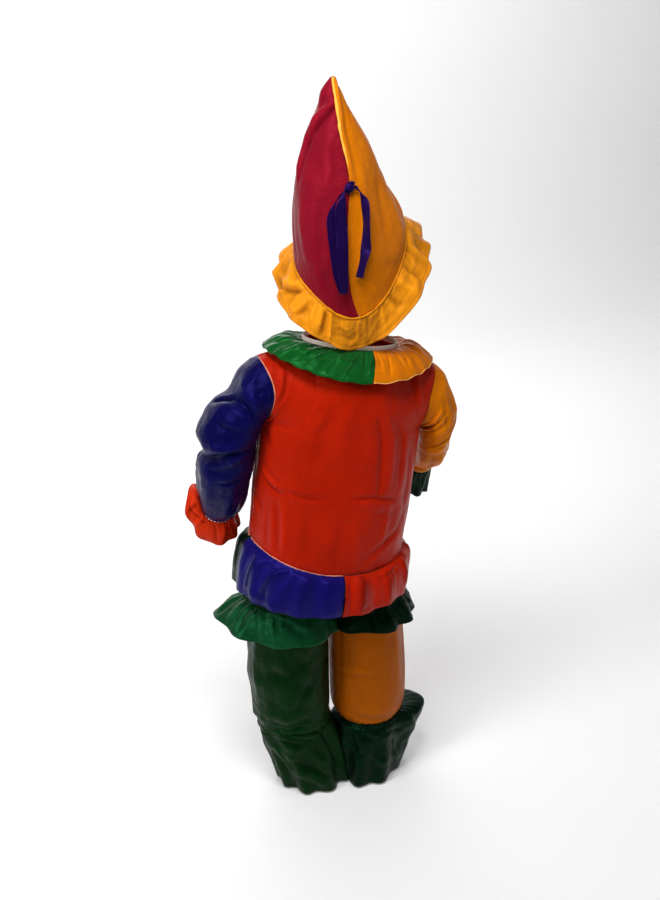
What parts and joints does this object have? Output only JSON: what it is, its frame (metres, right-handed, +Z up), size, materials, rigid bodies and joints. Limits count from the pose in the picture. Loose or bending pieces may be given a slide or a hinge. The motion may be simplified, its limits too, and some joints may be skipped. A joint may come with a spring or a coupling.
{
  "type": "child's clown costume",
  "caption": "Worn clown costume in bright colour blocks: hooded cone hat with ruffle, tunic with gathered collar and peplum, and ruffled trousers.",
  "frame": {"origin": "middle of the neck opening of the tunic, where the wearer carries it", "axes": "+Z up towards the hat's tip, +Y the way the wearer faces, +X the wearer's right"},
  "size_m": [0.5105, 0.2979, 1.3683],
  "materials": {
    "crimson": "satin weave polyester",
    "golden": "satin weave polyester",
    "ruffle_yellow": "satin weave polyester",
    "navy": "satin weave polyester",
    "orange_red": "satin weave polyester",
    "green": "satin weave polyester",
    "dark_green": "satin weave polyester",
    "blue": "satin weave polyester",
    "ochre": "satin weave polyester",
    "coral": "satin weave polyester",
    "off_white": "plain weave tape"
  },
  "bodies": {
    "root": {"hat_left": "crimson", "hat_right": "golden", "hat_ruffle": "ruffle_yellow", "ribbon_knot": "navy", "ribbon_loop": "navy", "ribbon_tail": "navy", "tunic_back": "orange_red", "tunic_front": "orange_red", "neck_binding": "off_white", "collar_left": "green", "collar_right": "golden", "sleeve_left": "navy", "cuff_ruffle_left": "coral", "sleeve_right": "golden", "cuff_band_right": "golden", "cuff_ruffle_right": "dark_green", "peplum_back_left": "blue", "peplum_back_right": "orange_red", "peplum_front_left": "dark_green", "peplum_front_right": "golden", "trouser_left": "green", "trouser_right": "ochre", "waist_casing": "green", "knee_ruffle_left": "green", "knee_ruffle_right": "dark_green", "ankle_ruffle_left": "green", "ankle_ruffle_right": "dark_green"}
  },
  "joints": []
}
